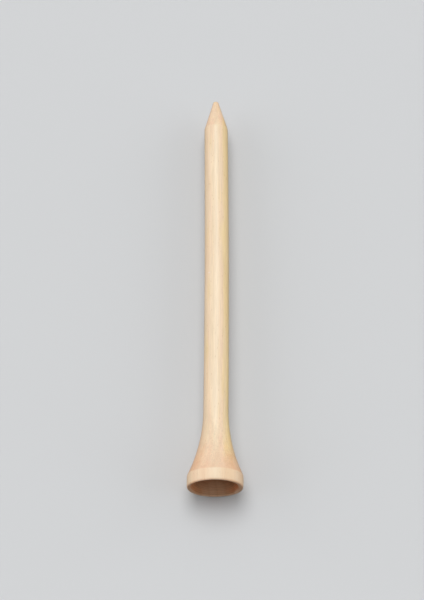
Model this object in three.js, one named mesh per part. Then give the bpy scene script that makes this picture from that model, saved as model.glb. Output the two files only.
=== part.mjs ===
// A wooden golf tee: one piece, turned from a single dowel.
// Millimetres, +Z up. The tee lies on its side, as a loose tee does.
// The origin is on its turning axis, at the middle of its length.
// The axis runs along Y, from the mouth of the cup (-Y) to the point (+Y).

import * as THREE from "three";

const { degToRad } = THREE.MathUtils;

// Overall sizes.
const LENGTH = 83; // mouth of the cup to the end of the point
const HEAD_RADIUS = 10.5 / 2;
const SHANK_RADIUS = 4.75 / 2;

// Cup and lip: a dish shaped like a spherical cap, inside a narrow flat ring.
const CUP_DEPTH = 1.9;
const LIP_WIDTH = 0.4;
const LIP_ROUND = 0.12;

// Head: a straight band behind the mouth, then a cone that a long hollow arc blends into the shank.
const BAND_LENGTH = 2.3;
const BAND_CORNER_ROUND = 0.6;
const FLARE_ANGLE = degToRad(23.8);
const FLARE_ROUND = 31;

// Point: a blunt cone. The end radius is that of the cone before its edge is rounded.
const POINT_ANGLE = degToRad(15.9);
const POINT_END_RADIUS = 0.5;
const POINT_ROUND = 0.3;
const SHOULDER_ROUND = 1.5;

// No flat facet lies deeper than this below the round surface that it stands for.
const CHORD_TOLERANCE = 0.008;

// The widest angle that one straight step may span on an arc of this radius.
const stepAngle = (radius) => 2 * Math.acos(1 - CHORD_TOLERANCE / radius);

// In the outline below, x is the distance from the turning axis and y the distance from the mouth.

// The dish, from its centre on the axis to just short of the lip.
function cupArc() {
  const mouthRadius = HEAD_RADIUS - LIP_WIDTH;
  const radius = (mouthRadius ** 2 + CUP_DEPTH ** 2) / (2 * CUP_DEPTH);
  const span = Math.asin(mouthRadius / radius);
  const steps = Math.ceil(span / stepAngle(radius));
  return Array.from({ length: steps }, (_, i) => {
    const angle = (span * i) / steps;
    return new THREE.Vector2(radius * Math.sin(angle), CUP_DEPTH - radius * (1 - Math.cos(angle)));
  });
}

const corner = (x, y, round = 0) => ({ at: new THREE.Vector2(x, y), round });

// The corners of the outside, from the lip's inner edge to the middle of the blunt end.
function outsideCorners() {
  const flareFoot = BAND_LENGTH + (HEAD_RADIUS - SHANK_RADIUS) / Math.tan(FLARE_ANGLE);
  const pointLength = (SHANK_RADIUS - POINT_END_RADIUS) / Math.tan(POINT_ANGLE);
  return [
    corner(HEAD_RADIUS - LIP_WIDTH, 0),
    corner(HEAD_RADIUS, 0, LIP_ROUND),
    corner(HEAD_RADIUS, BAND_LENGTH, BAND_CORNER_ROUND),
    corner(SHANK_RADIUS, flareFoot, FLARE_ROUND),
    corner(SHANK_RADIUS, LENGTH - pointLength, SHOULDER_ROUND),
    corner(POINT_END_RADIUS, LENGTH, POINT_ROUND),
    corner(0, LENGTH),
  ];
}

// The points of the arc that rounds a corner off.
function roundedCorner(previous, { at, round }, next) {
  const toPrevious = previous.at.clone().sub(at).normalize();
  const toNext = next.at.clone().sub(at).normalize();
  const halfAngle = Math.acos(toPrevious.dot(toNext)) / 2;
  const centre = toPrevious.clone().add(toNext).setLength(round / Math.sin(halfAngle)).add(at);
  const start = toPrevious.clone().multiplyScalar(round / Math.tan(halfAngle)).add(at);
  const turn = Math.sign(toNext.cross(toPrevious)) * (Math.PI - 2 * halfAngle);
  const steps = Math.ceil(Math.abs(turn) / stepAngle(round));
  return Array.from({ length: steps + 1 }, (_, i) => start.clone().rotateAround(centre, (turn * i) / steps));
}

function outside() {
  const corners = outsideCorners();
  return corners.flatMap((c, i) => (c.round ? roundedCorner(corners[i - 1], c, corners[i + 1]) : [c.at]));
}

// Whole quarter turns of facets put a vertex on each of the head's four extremes.
const facets = 4 * Math.ceil(Math.PI / 2 / stepAngle(HEAD_RADIUS));

const birch = new THREE.MeshStandardMaterial({ color: "#ecd5b1", roughness: 0.5, metalness: 0 });
const tee = new THREE.Mesh(new THREE.LatheGeometry([...cupArc(), ...outside()], facets), birch);
tee.name = "tee";
tee.position.y = -LENGTH / 2;

const root = new THREE.Group();
root.add(tee);
export default root;
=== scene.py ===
"""The looks of a wooden golf tee that lies on a pale studio floor.

Metres, +Z up. The tee's turning axis is the Y axis, with the cup's mouth facing -Y and the point at +Y.
"""

import math
from types import SimpleNamespace

import bpy
import numpy as np
from mathutils import Euler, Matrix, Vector, noise


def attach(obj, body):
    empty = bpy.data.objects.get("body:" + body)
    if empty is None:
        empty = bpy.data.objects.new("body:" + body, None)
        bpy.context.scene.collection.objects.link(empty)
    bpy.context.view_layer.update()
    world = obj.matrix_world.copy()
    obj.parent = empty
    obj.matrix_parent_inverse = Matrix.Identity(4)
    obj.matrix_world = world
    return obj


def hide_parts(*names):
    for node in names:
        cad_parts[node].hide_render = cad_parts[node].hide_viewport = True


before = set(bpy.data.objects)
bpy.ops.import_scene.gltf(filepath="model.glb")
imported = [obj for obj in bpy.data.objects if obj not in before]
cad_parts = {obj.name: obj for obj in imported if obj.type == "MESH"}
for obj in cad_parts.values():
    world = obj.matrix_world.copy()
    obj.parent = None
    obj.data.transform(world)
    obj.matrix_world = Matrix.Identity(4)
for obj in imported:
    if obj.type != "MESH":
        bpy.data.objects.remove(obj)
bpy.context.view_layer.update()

MM = 0.001

# Lengths under TINY count as none, and points of the outline are told apart to METRE_DECIMALS of a metre.
TINY = 0.0001 * MM
METRE_DECIMALS = 7

# The mesh of the tee: facets round the axis, and how far apart its rings are.
FACETS = 216
CUP_SPACING = 0.06 * MM
HEAD_SPACING = 0.14 * MM
SHANK_SPACING = 0.42 * MM
POINT_SPACING = 0.11 * MM

# The relief of the surface: lumps of the dowel, raised fibres and the lathe's tool marks.
LUMP_WIDTH = 1.6 * MM
LUMP_LENGTH = 12 * MM
LUMP_START = 7
LUMP_RELIEF = 0.018 * MM
FIBRE_WIDTH = 0.22 * MM
FIBRE_LENGTH = 5 * MM
FINE_FIBRE_SHARE = 0.3
FINE_FIBRE_SCALE = 2.3
FIBRE_RELIEF = 0.005 * MM
END_FIBRE_RELIEF = 0.012 * MM
TOOL_MARK_WIDTH = 0.34 * MM
TOOL_MARK_RELIEF = 0.009 * MM
TOOL_MARK_LEAST = 0.25
TOOL_MARK_GROWTH = 3

# The ring that the tool left in the cup, the shank's bend, the cup's place and the softer lip.
CUP_RING_RADIUS = 3.25 * MM
CUP_RING_WIDTH = 0.22 * MM
CUP_RING_RELIEF = 0.035 * MM
BOW = 0.25 * MM
CUP_OFFSET = -0.1 * MM
CUP_OFFSET_FADE = (4.75 * MM, 5.1 * MM)
LIP_SOFTENING = 24
LIP_REACH = 0.8 * MM

# The wood's colours, as linear light. A tint multiplies the wood's own colour.
PINK_WOOD = (0.880, 0.650, 0.450, 1)
YELLOW_WOOD = (0.870, 0.665, 0.340, 1)
PALE_WOOD = (0.885, 0.720, 0.510, 1)
LATE_WOOD = (0.76, 0.54, 0.335, 1)
NICK_COLOUR = (0.95, 0.78, 0.70, 1)
# Painted shade for a patch on the left of the flare.
FLARE_PAINTED_SHADE = (0.94, 0.93, 0.915, 1)
# A painted highlight tone for the top of the tee, where the key's highlight falls.
TOP_HIGHLIGHT_TONE = (0.82, 0.667, 0.462, 1)
SLOPE_TINT = (0.94, 0.85, 0.84, 1)
SLOPE_SIDE_TINT = (0.99, 0.92, 0.84, 1)
HEAD_TINT = (0.985, 0.96, 0.955, 1)
PORE_TINT = (0.72, 0.60, 0.50, 1)
# The cup's tints are mostly painted shade over slightly darker end grain, deepest upwards and to the right.
CUP_GRAIN_AND_SHADE_TINT = (0.77, 0.64, 0.54, 1)
CUP_PAINTED_SHADE_LEFT = (0.50, 0.31, 0.185, 1)
CUP_PAINTED_SHADE_RIGHT = (0.40, 0.235, 0.13, 1)
# Warm painted shade near the cup's rim, for light bounced inside the cup.
CUP_PAINTED_WARM_LEFT = (0.93, 0.60, 0.40, 1)
CUP_PAINTED_WARM_RIGHT = (0.82, 0.44, 0.27, 1)

# The wood's patterns, in noise cells per mm across and along the grain.
BLOTCH_GRAIN = (0.75, 0.12)
BLOTCH_GAIN = 2.0
BLOTCH_LEVEL = -0.82
PALE_GRAIN = (0.9, 0.05)
RING_GRAIN = (0.3, 0.03)
SLOPE_GRAIN = (1.1, 0.5)
SLOPE_NOISE_SHARE = 0.3
SLOPE_SIDE_GRAIN = (0.55, 0.3)
STRAND_GRAIN = (4.5, 0.14)
HAIR_GRAIN = (15.0, 0.4)
PORE_GRAIN = (4.6, 0.75)
FINE_GRAIN = (16.0, 0.6)

# Places in the wood, in mm. A reach is how far a spot goes along x, y and z.
NICK_PLACE = (-1.25, 1.9, 2.02)
NICK_REACH = (0.344, 0.157, 0.55)
NICK_SHARE = 0.8
# Where the patch of painted shade on the flare lies, and its reach.
FLARE_SHADE_PLACE = (-2.1, -30.5, 2.8)
FLARE_SHADE_REACH = (2.2, 7.0, 4.0)
PITH = (-14, 0, -6)
YEAR_WIDTH = 1.55
YEAR_WANDER = 1.4
RING_STRETCH = 0.012

# The cup's colour, which is mostly painted shade, ends at CUP_EDGE from its axis. It starts to fade at
# CUP_EDGE_FADE, and on the cup's left and right CUP_SIDE_FADE is added to that. The tool's grooves have
# CUP_GROOVES noise units per mm.
CUP_EDGE = 4.84
CUP_EDGE_FADE = 4.55
CUP_SIDE_FADE = -0.4
CUP_GROOVES = 1.5

# Ramps, each as low, high and the values at the two. Places and distances are in mm. Sideways is 0 on the
# tee's top and at its bottom and 1 on its sides. Across is how far a surface cuts across the fibres.
STRIP_LEFT_X = (1.0, 2.3, 0.0, 1.6)
STRIP_RIGHT_X = (2.8, 3.8, 1.0, 0.1)
STRIP_Z = (-1.6, 0.0, 0.2, 1.0)
YELLOW_Y = (-38.6, -33.6, 0.25, 1.0)
PALE_NOISE = (0.4, 0.64, 0.1, 0.65)
PALE_STRIP = (0.8, 1.5, 1.0, 0.4)
# The next two ramps place the painted highlight tone along the top.
HIGHLIGHT_TONE_SIDEWAYS = (0.05, 0.4, 0.9, 0.0)
HIGHLIGHT_TONE_Z = (0.0, 1.0, 0.0, 1.0)
LATE_YEAR = (0.45, 0.97, 0.0, 1.0)
LATE_ACROSS = (0.3, 0.9, 0.2, 0.5)
SLOPE_ACROSS = (0.25, 0.58, 0.0, 1.0)
SLOPE_SIDEWAYS = (0.3, 0.9, 0.0, 1.0)
SLOPE_SIDE_NOISE = (0.35, 0.6, 0.5, 1.5)
SLOPE_SIDE_Y = (0.0, 10.0, 1.0, 0.0)
HEAD_Y = (-40.0, -36.0, 1.0, 0.0)
CUP_SIDEWAYS = (0.7, 0.95, 0.0, 1.0)
CUP_Y = (-39.2, -39.0, 1.0, 0.0)
CUP_FACING = (-0.2, -0.1, 1.0, 0.0)
# The next two ramps place the cup's painted shade, deeper to the right and upwards.
CUP_SHADE_X = (-1.0, 3.2, 0.0, 1.0)
CUP_SHADE_Z = (-5.2, 0.7, 0.0, 1.0)
# The next three ramps place the warm painted shade near the cup's rim.
WARM_SHADE_X = (-2.5, 2.5, 0.0, 1.0)
WARM_SHADE_Z = (-4.2, -1.0, 0.0, 1.0)
WARM_SHADE_RADIUS = (3.2, 4.5, 0.0, 1.0)
GROOVE_NOISE = (0.3, 0.7, 0.8, 1.15)
SPOT_EDGE = (0.45, 1.0, 1.0, 0.0)
FIBRE_NOISE = (0.25, 0.75, 0.94, 1.05)
FIBRE_Y = (-40.0, -37.0, 0.5, 1.0)
PORE_SIZE = (0.06, 0.22, 1.0, 0.0)
PORE_STRENGTH = (0.35, 0.9, 0.0, 1.0)
ROUGHNESS_NOISE = (0.3, 0.7, 0.42, 0.54)
LACQUER_Y = (-39.55, -38.95, 0.1, 0.32)

# The surface's finish.
CUP_ROUGHER = 0.3
BUMP_STRENGTH = 0.5
BUMP_HEIGHT = 0.006 * MM
LACQUER_ROUGHNESS = 0.22
FLOOR_ROUGHNESS = 0.9

# The stage.
FLOOR_SIZE = 3.0
FLOOR_COLOUR = (0.62, 0.63, 0.64, 1)
FLOOR_BOUNCE = (0.2, 0.19, 0.18, 1)
BACKDROP_COLOUR = (0.64, 0.65, 0.66, 1)
KEY_STRENGTH = 1.70
KEY_ANGLE = math.radians(40)
KEY_DIRECTION = (-0.07, 0.29, 0.95)
FILL_STRENGTH = 1.2
FILL_SHARES = (1.12, 1.08)
FILL_ANGLE = math.radians(70)
FILL_DIRECTION = (0.98, 0.05, 0.15)
AMBIENT = 0.35
AMBIENT_LEAN = 0.58

# The camera: how far above the tee's axis it looks down, its roll, from where and at what.
CAMERA_ELEVATION = math.radians(65.15)
CAMERA_ROLL = math.radians(0.176)
CAMERA_DISTANCE = 328.9 * MM
CAMERA_TARGET = Vector((-0.667, -3.14, 0)) * MM
CAMERA_LENS = 101.6


def cad_outline(node):
    """The node's turned outline as (radius, y) rows, from the middle of the cup to the end of the point.

    Every ring of the solid has a vertex on the +X side of the axis, level with it.
    """
    corners = np.array([vertex.co for vertex in node.data.vertices])
    side = corners[(np.abs(corners[:, 2]) < TINY) & (corners[:, 0] > -TINY)]
    points = np.unique(np.column_stack([np.abs(side[:, 0]), side[:, 1]]).round(METRE_DECIMALS), axis=0)
    order = [int(np.argmin(points[:, 0] + (points[:, 1] > 0)))]
    while len(order) < len(points):
        gaps = np.linalg.norm(points - points[order[-1]], axis=1)
        gaps[order] = np.inf
        order.append(int(gaps.argmin()))
    return points[order]


def ring_spacing(i, lip, shank):
    """How far apart the rings are on stretch i of the outline."""
    if i < lip + 2:
        return CUP_SPACING
    if i < shank:
        return HEAD_SPACING
    return SHANK_SPACING if i == shank else POINT_SPACING


def smooth_outline(points):
    """A smooth curve through the outline's points, as many close (radius, y) rows."""
    mirrored = points[[1, -2]] * [-1, 1]
    ends = np.vstack([mirrored[:1], points, mirrored[1:]])
    tangents = ends[2:] - ends[:-2]
    tangents /= np.linalg.norm(tangents, axis=1, keepdims=True)
    lengths = np.linalg.norm(np.diff(points, axis=0), axis=1)
    lip, shank = points[:, 1].argmin(), lengths.argmax()
    curve = [points[:1]]
    for i, length in enumerate(lengths):
        steps = math.ceil(length / ring_spacing(i, lip, shank))
        t = (np.arange(1, steps + 1) / steps)[:, None]
        curve.append(
            (2 * t**3 - 3 * t**2 + 1) * points[i]
            + (t**3 - 2 * t**2 + t) * length * tangents[i]
            + (3 * t**2 - 2 * t**3) * points[i + 1]
            + (t**3 - t**2) * length * tangents[i + 1]
        )
    curve = np.vstack(curve)
    near = (np.abs(curve[:, 1] - points[lip, 1]) < LIP_REACH)[1:-1, None]
    for _ in range(LIP_SOFTENING):
        curve[1:-1] += near * (curve[:-2] - 2 * curve[1:-1] + curve[2:]) / 4
    return curve


def fibre_height(x, y, z):
    """The height of the fibres at a point of the surface, from -1 to 1. Fibres run along Y."""
    coarse = Vector((x / FIBRE_WIDTH, y / FIBRE_LENGTH, z / FIBRE_WIDTH))
    fine = noise.noise(coarse * FINE_FIBRE_SCALE)
    return (1 - FINE_FIBRE_SHARE) * noise.noise(coarse) + FINE_FIBRE_SHARE * fine


def lump_height(x, y, z):
    """The height of the dowel's lumps, from -1 to 1, in another part of the noise than the fibres."""
    return noise.noise(Vector((x / LUMP_WIDTH, y / LUMP_LENGTH + LUMP_START, z / LUMP_WIDTH)))


def tool_marks(outline):
    """The height of the tool marks at each of the outline's rows, from -1 to 1."""
    travel = np.r_[0, np.cumsum(np.linalg.norm(np.diff(outline, axis=0), axis=1))]
    # The noise is 0 wherever its places are whole numbers, so two of them stay half-way between.
    return np.array([noise.noise(Vector((0.5, s / TOOL_MARK_WIDTH, 0.5))) for s in travel])


def relief(outline, across, in_cup, x, y, z):
    """How far each point of the surface stands out of the turned shape."""
    marks = tool_marks(outline)[1:-1, None] * np.clip(across * TOOL_MARK_GROWTH, TOOL_MARK_LEAST, 1)
    from_ring = (outline[1:-1, :1] - CUP_RING_RADIUS) / CUP_RING_WIDTH
    return (
        (FIBRE_RELIEF + END_FIBRE_RELIEF * across**2) * np.vectorize(fibre_height)(x, y, z)
        + LUMP_RELIEF * np.vectorize(lump_height)(x, y, z)
        + TOOL_MARK_RELIEF * marks
        + CUP_RING_RELIEF * np.exp(-(from_ring**2)) * in_cup
    )


def turned_faces(ring_count):
    """The four-sided faces between the rings, and a fan of triangles round each end's middle."""
    start = np.arange(ring_count)[:, None] * FACETS
    here, beside = np.arange(FACETS), np.roll(np.arange(FACETS), -1)
    quads = np.stack(
        [start[:-1] + here, start[:-1] + beside, start[1:] + beside, start[1:] + here], axis=-1
    ).reshape(-1, 4)
    cup_pole, point_pole = ring_count * FACETS, ring_count * FACETS + 1
    last = start[-1, 0]
    cup_fan = [(cup_pole, b, h) for h, b in zip(here, beside)]
    point_fan = [(point_pole, last + h, last + b) for h, b in zip(here, beside)]
    return quads.tolist() + cup_fan + point_fan


def turned_mesh(outline):
    """The tee's surface, turned from the outline, with its relief, its bend and its cup a little aside."""
    along = np.gradient(outline, axis=0)
    along /= np.linalg.norm(along, axis=1, keepdims=True)
    normal = np.column_stack([along[:, 1], -along[:, 0]])[1:-1]
    angles = np.linspace(0, 2 * math.pi, FACETS, endpoint=False)
    sine, cosine = np.sin(angles), np.cos(angles)

    rings = outline[1:-1]
    x = rings[:, :1] * sine
    y = np.broadcast_to(rings[:, 1:], x.shape)
    z = rings[:, :1] * cosine
    lip = outline[:, 1].argmin()
    in_cup = (np.arange(1, len(outline) - 1) < lip)[:, None]
    height = relief(outline, np.abs(normal[:, 1:]), in_cup, x, y, z)
    radius = rings[:, :1] + normal[:, :1] * height
    y = y + normal[:, 1:] * height
    half = outline[:, 1].max()
    cup_aside = CUP_OFFSET * in_cup * np.interp(rings[:, :1], CUP_OFFSET_FADE, (1, 0))
    aside = BOW * (1 - (y / half) ** 2) + cup_aside
    shell = np.stack([radius * sine + aside, y, radius * cosine], axis=-1).reshape(-1, 3)
    poles = np.array([[0, outline[0, 1], 0], [0, outline[-1, 1], 0]])

    mesh = bpy.data.meshes.new("golf_tee")
    mesh.from_pydata(np.vstack([shell, poles]).tolist(), [], turned_faces(len(rings)))
    mesh.shade_smooth()
    return mesh


def add_node(tree, kind, inputs=None, **settings):
    """A new shader node. inputs gives each socket its value, or the output to link it to."""
    node = tree.nodes.new("ShaderNode" + kind)
    for name, value in settings.items():
        setattr(node, name, value)
    for socket, value in (inputs or {}).items():
        if isinstance(value, bpy.types.NodeSocket):
            tree.links.new(value, node.inputs[socket])
        else:
            node.inputs[socket].default_value = value
    return node


def maths(tree, operation, *values):
    """The result of a Math node."""
    return add_node(tree, "Math", dict(enumerate(values)), operation=operation).outputs[0]


def ramp(tree, value, low, high, start=0.0, end=1.0):
    """start at low, end at high and a smooth change between them."""
    inputs = {"Value": value, 1: low, 2: high, 3: start, 4: end}
    return add_node(tree, "MapRange", inputs, interpolation_type="SMOOTHSTEP").outputs[0]


def mix(tree, factor, a, b, blend="MIX"):
    """Colour a where factor is 0 and, where it is 1, b, or a and b blended."""
    inputs = {0: factor, 6: a, 7: b}
    return add_node(tree, "Mix", inputs, data_type="RGBA", blend_type=blend).outputs[2]


def vector(tree, operation, a, b=(0, 0, 0), output="Vector"):
    """The result of a VectorMath node."""
    return add_node(tree, "VectorMath", {0: a, 1: b}, operation=operation).outputs[output]


def product(tree, *values):
    """All the values multiplied."""
    result = values[0]
    for value in values[1:]:
        result = maths(tree, "MULTIPLY", result, value)
    return result


def stretched(tree, mm, scale):
    """Places for a pattern along the fibres. scale is its cells per mm across and along them."""
    across, along = scale
    return vector(tree, "MULTIPLY", mm, (across, along, across))


def grain(tree, mm, scale, detail=2.0):
    """Noise that is stretched along the fibres."""
    inputs = {"Vector": stretched(tree, mm, scale), "Scale": 1.0, "Detail": detail}
    return add_node(tree, "TexNoise", inputs).outputs["Fac"]


def brightened(tree, colour, value, factor=1.0):
    """colour times a grey value."""
    grey = add_node(tree, "CombineXYZ", {0: value, 1: value, 2: value}).outputs[0]
    return mix(tree, factor, colour, grey, "MULTIPLY")


def spot(tree, mm, place, reach):
    """1 in the middle of a spot in the wood, and 0 beyond its reach."""
    offset = vector(tree, "DIVIDE", vector(tree, "SUBTRACT", mm, place), reach)
    return ramp(tree, vector(tree, "LENGTH", offset, output="Value"), *SPOT_EDGE)


def surface_places(tree):
    """What the wood's colours depend on, for each point of the surface, with lengths in mm."""
    place = add_node(tree, "TexCoord")
    scaled = {0: place.outputs["Object"], "Scale": 1 / MM}
    mm = add_node(tree, "VectorMath", scaled, operation="SCALE").outputs[0]
    x, y, z = add_node(tree, "SeparateXYZ", {0: mm}).outputs
    level = add_node(tree, "CombineXYZ", {0: x, 2: z}).outputs[0]
    from_axis = vector(tree, "LENGTH", level, output="Value")
    facing = add_node(tree, "SeparateXYZ", {0: place.outputs["Normal"]}).outputs["Y"]
    return SimpleNamespace(
        mm=mm,
        x=x,
        y=y,
        z=z,
        from_axis=from_axis,
        from_cup_axis=vector(tree, "DISTANCE", level, (CUP_OFFSET / MM, 0, 0), "Value"),
        sideways=maths(tree, "ABSOLUTE", maths(tree, "DIVIDE", x, from_axis)),
        facing=facing,
        across=maths(tree, "ABSOLUTE", facing),
    )


def sapwood(tree, at):
    """Pink wood with soft lengthwise blotches, a yellow strip on the right, and a painted highlight tone
    along the top.
    """
    strip = product(
        tree, ramp(tree, at.x, *STRIP_LEFT_X), ramp(tree, at.z, *STRIP_Z), ramp(tree, at.x, *STRIP_RIGHT_X)
    )
    blotches = maths(tree, "MULTIPLY_ADD", grain(tree, at.mm, BLOTCH_GRAIN), BLOTCH_GAIN, BLOTCH_LEVEL)
    yellow = ramp(tree, maths(tree, "ADD", strip, blotches), 0.0, 1.0)
    yellow = product(tree, yellow, ramp(tree, at.y, *YELLOW_Y))
    colour = mix(tree, yellow, PINK_WOOD, YELLOW_WOOD)
    pale = ramp(tree, grain(tree, at.mm, PALE_GRAIN), *PALE_NOISE)
    colour = mix(tree, product(tree, pale, ramp(tree, strip, *PALE_STRIP)), colour, PALE_WOOD)
    # Painted highlight tone along the top, where the key's highlight falls.
    highlight_tone = product(tree, ramp(tree, at.sideways, *HIGHLIGHT_TONE_SIDEWAYS), ramp(tree, at.z, *HIGHLIGHT_TONE_Z))
    return mix(tree, highlight_tone, colour, TOP_HIGHLIGHT_TONE)


def late_wood(tree, at):
    """How much of the darker late wood shows. The growth rings run about a pith outside the dowel."""
    flat = vector(tree, "MULTIPLY", vector(tree, "SUBTRACT", at.mm, PITH), (1, RING_STRETCH, 1))
    distance = vector(tree, "LENGTH", flat, output="Value")
    rings = maths(tree, "MULTIPLY_ADD", grain(tree, at.mm, RING_GRAIN, 1.0), YEAR_WANDER, distance)
    year = maths(tree, "FRACT", maths(tree, "DIVIDE", rings, YEAR_WIDTH))
    return product(tree, ramp(tree, year, *LATE_YEAR), ramp(tree, at.across, *LATE_ACROSS))


def sloped_wood(tree, at, colour):
    """Redder wood where the surface slopes across the fibres, more so on the sides of the head and flare."""
    sloped = maths(tree, "MULTIPLY_ADD", grain(tree, at.mm, SLOPE_GRAIN), SLOPE_NOISE_SHARE, at.across)
    sloped = ramp(tree, sloped, *SLOPE_ACROSS)
    colour = mix(tree, sloped, colour, SLOPE_TINT, "MULTIPLY")
    patchy = ramp(tree, grain(tree, at.mm, SLOPE_SIDE_GRAIN), *SLOPE_SIDE_NOISE)
    near_head = ramp(tree, at.y, *SLOPE_SIDE_Y)
    side = product(tree, sloped, near_head, product(tree, ramp(tree, at.sideways, *SLOPE_SIDEWAYS), patchy))
    return mix(tree, side, colour, SLOPE_SIDE_TINT, "MULTIPLY")


def cup_inside(tree, at):
    """1 inside the cup and 0 outside it. The edge starts nearer the axis on the cup's left and right."""
    aside = ramp(tree, at.sideways, *CUP_SIDEWAYS)
    edge_fade = maths(tree, "MULTIPLY_ADD", aside, CUP_SIDE_FADE, CUP_EDGE_FADE)
    return product(
        tree,
        ramp(tree, at.from_cup_axis, edge_fade, CUP_EDGE, 1.0, 0.0),
        ramp(tree, at.y, *CUP_Y),
        ramp(tree, at.facing, *CUP_FACING),
    )


def painted_cup_shade(tree, at):
    """The cup's tint, mostly painted shade over slightly darker end grain: deeper upwards and to the right,
    warm painted shade near the rim, with the grooves of the tool.
    """
    # Painted shade that deepens upwards and to the right.
    deep_shade = mix(tree, ramp(tree, at.x, *CUP_SHADE_X), CUP_PAINTED_SHADE_LEFT, CUP_PAINTED_SHADE_RIGHT)
    tint = mix(tree, ramp(tree, at.z, *CUP_SHADE_Z), CUP_GRAIN_AND_SHADE_TINT, deep_shade)
    # Warm painted shade near the rim, for light bounced inside the cup.
    warm_shade = mix(tree, ramp(tree, at.x, *WARM_SHADE_X), CUP_PAINTED_WARM_LEFT, CUP_PAINTED_WARM_RIGHT)
    warm_share = product(tree, ramp(tree, at.from_cup_axis, *WARM_SHADE_RADIUS), ramp(tree, at.z, *WARM_SHADE_Z))
    tint = mix(tree, warm_share, tint, warm_shade)
    around = {"W": maths(tree, "MULTIPLY", at.from_axis, CUP_GROOVES), "Detail": 3.0}
    turned = add_node(tree, "TexNoise", around, noise_dimensions="1D").outputs["Fac"]
    return brightened(tree, tint, ramp(tree, turned, *GROOVE_NOISE))


def fibres(tree, at, colour):
    """colour with lengthwise strands and fine hairs, which are fainter on the head."""
    clear = ramp(tree, at.y, *FIBRE_Y)
    strands = ramp(tree, grain(tree, at.mm, STRAND_GRAIN, 3.0), *FIBRE_NOISE)
    hairs = ramp(tree, grain(tree, at.mm, HAIR_GRAIN), *FIBRE_NOISE)
    return brightened(tree, brightened(tree, colour, strands, clear), hairs, clear)


def pore_marks(tree, at):
    """How much a point is in a pore. Pores are strong in some cells of the pattern and faint in others."""
    cells = add_node(tree, "TexVoronoi", {"Vector": stretched(tree, at.mm, PORE_GRAIN), "Scale": 1.0})
    chance = add_node(tree, "SeparateXYZ", {0: cells.outputs["Color"]}).outputs["X"]
    near = ramp(tree, cells.outputs["Distance"], *PORE_SIZE)
    return product(tree, near, ramp(tree, chance, *PORE_STRENGTH))


def birch():
    """Pale birch with a thin satin lacquer."""
    material = bpy.data.materials.new("birch")
    material.use_nodes = True
    tree = material.node_tree
    shader = tree.nodes["Principled BSDF"]
    at = surface_places(tree)

    colour = mix(tree, late_wood(tree, at), sapwood(tree, at), LATE_WOOD)
    colour = sloped_wood(tree, at, colour)
    colour = mix(tree, ramp(tree, at.y, *HEAD_Y), colour, HEAD_TINT, "MULTIPLY")
    # The cup is darkened with painted shade over slightly darker end grain.
    inside = cup_inside(tree, at)
    colour = mix(tree, inside, colour, painted_cup_shade(tree, at), "MULTIPLY")

    # A small pale nick, and a patch of painted shade that darkens the left of the flare.
    nick = product(tree, spot(tree, at.mm, NICK_PLACE, NICK_REACH), NICK_SHARE)
    colour = mix(tree, nick, colour, NICK_COLOUR)
    colour = mix(tree, spot(tree, at.mm, FLARE_SHADE_PLACE, FLARE_SHADE_REACH), colour, FLARE_PAINTED_SHADE, "MULTIPLY")

    pores = pore_marks(tree, at)
    colour = mix(tree, pores, fibres(tree, at, colour), PORE_TINT, "MULTIPLY")
    tree.links.new(colour, shader.inputs["Base Color"])

    fine = grain(tree, at.mm, FINE_GRAIN)
    roughness = maths(tree, "MULTIPLY_ADD", inside, CUP_ROUGHER, ramp(tree, fine, *ROUGHNESS_NOISE))
    tree.links.new(roughness, shader.inputs["Roughness"])
    relief_height = maths(tree, "SUBTRACT", fine, pores)
    bump = {"Height": relief_height, "Strength": BUMP_STRENGTH, "Distance": BUMP_HEIGHT}
    tree.links.new(add_node(tree, "Bump", bump).outputs[0], shader.inputs["Normal"])

    # The lacquer is thinner on the band and the lip, and there is none in the cup.
    lacquer = product(tree, ramp(tree, at.y, *LACQUER_Y), maths(tree, "SUBTRACT", 1.0, inside))
    tree.links.new(lacquer, shader.inputs["Coat Weight"])
    shader.inputs["Coat Roughness"].default_value = LACQUER_ROUGHNESS
    return material


def floor_material():
    """Pale to the camera, but darker to the light that the tee gets back from it."""
    material = bpy.data.materials.new("floor")
    material.use_nodes = True
    tree = material.node_tree
    shader = tree.nodes["Principled BSDF"]
    seen = add_node(tree, "LightPath").outputs["Is Camera Ray"]
    tree.links.new(mix(tree, seen, FLOOR_BOUNCE, FLOOR_COLOUR), shader.inputs["Base Color"])
    shader.inputs["Roughness"].default_value = FLOOR_ROUGHNESS
    shader.inputs["Specular IOR Level"].default_value = 0
    return material


def add_floor(outline):
    """A floor that the tee lies on as it would fall: on its head and on the shoulder of its point."""
    head = outline[outline[:, 0] >= outline[:, 0].max() - TINY][-1]
    beyond = outline[outline[:, 1] > head[1] + MM]
    slope = ((head[0] - beyond[:, 0]) / (beyond[:, 1] - head[1])).min()
    half = FLOOR_SIZE / 2
    square = ((-half, -half), (half, -half), (half, half), (-half, half))
    corners = [(x, y, -head[0] + slope * (y - head[1])) for x, y in square]
    mesh = bpy.data.meshes.new("floor")
    mesh.from_pydata(corners, [], [(0, 1, 2, 3)])
    floor = bpy.data.objects.new("floor", mesh)
    mesh.materials.append(floor_material())
    bpy.context.scene.collection.objects.link(floor)


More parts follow.
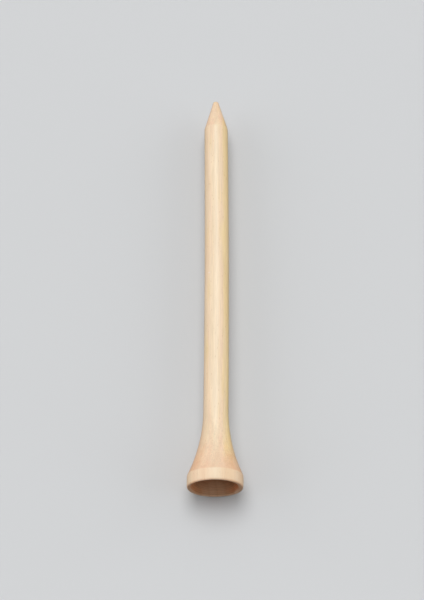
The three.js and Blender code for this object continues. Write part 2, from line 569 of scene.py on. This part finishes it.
def add_lamp(name, direction, strength, angle):
    """A broad, far lamp in a direction."""
    lamp = bpy.data.lights.new(name, "SUN")
    lamp.energy = strength
    lamp.angle = angle
    placed = bpy.data.objects.new(name, lamp)
    placed.rotation_euler = Vector(direction).to_track_quat("Z", "Y").to_euler()
    bpy.context.scene.collection.objects.link(placed)
    return placed


def add_light():
    """A key overhead, a fill on each side, and soft light from all round that leans to the point's side."""
    add_lamp("key", KEY_DIRECTION, KEY_STRENGTH, KEY_ANGLE)
    for side, share in zip((-1, 1), FILL_SHARES):
        x, y, z = FILL_DIRECTION
        fill = add_lamp("fill", (side * x, y, z), share * FILL_STRENGTH, FILL_ANGLE)
        fill.visible_glossy = False
    world = bpy.data.worlds.new("studio")
    world.use_nodes = True
    tree = world.node_tree
    direction = add_node(tree, "SeparateXYZ", {0: add_node(tree, "TexCoord").outputs["Generated"]})
    strength = maths(tree, "MULTIPLY_ADD", direction.outputs["Y"], AMBIENT * AMBIENT_LEAN, AMBIENT)
    ambient = add_node(tree, "CombineXYZ", {0: strength, 1: strength, 2: strength}).outputs[0]
    seen = add_node(tree, "LightPath").outputs["Is Camera Ray"]
    tree.links.new(mix(tree, seen, ambient, BACKDROP_COLOUR), tree.nodes["Background"].inputs["Color"])
    bpy.context.scene.world = world


def add_camera():
    """The camera, which looks down at the tee from the cup's side."""
    data = bpy.data.cameras.new("camera")
    data.lens = CAMERA_LENS
    camera = bpy.data.objects.new("camera", data)
    back = Vector((0, -math.cos(CAMERA_ELEVATION), math.sin(CAMERA_ELEVATION)))
    camera.location = CAMERA_TARGET + CAMERA_DISTANCE * back
    turned = Euler((math.pi / 2 - CAMERA_ELEVATION, 0, CAMERA_ROLL), "ZYX")
    camera.rotation_euler = turned.to_matrix().to_euler()
    bpy.context.scene.collection.objects.link(camera)
    bpy.context.scene.camera = camera


outline = smooth_outline(cad_outline(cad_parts["tee"]))
tee = bpy.data.objects.new("golf_tee", turned_mesh(outline))
bpy.context.scene.collection.objects.link(tee)
tee.data.materials.append(birch())
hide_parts("tee")
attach(tee, "root")

add_floor(outline)
add_light()
add_camera()
bpy.context.scene.view_settings.view_transform = "Standard"
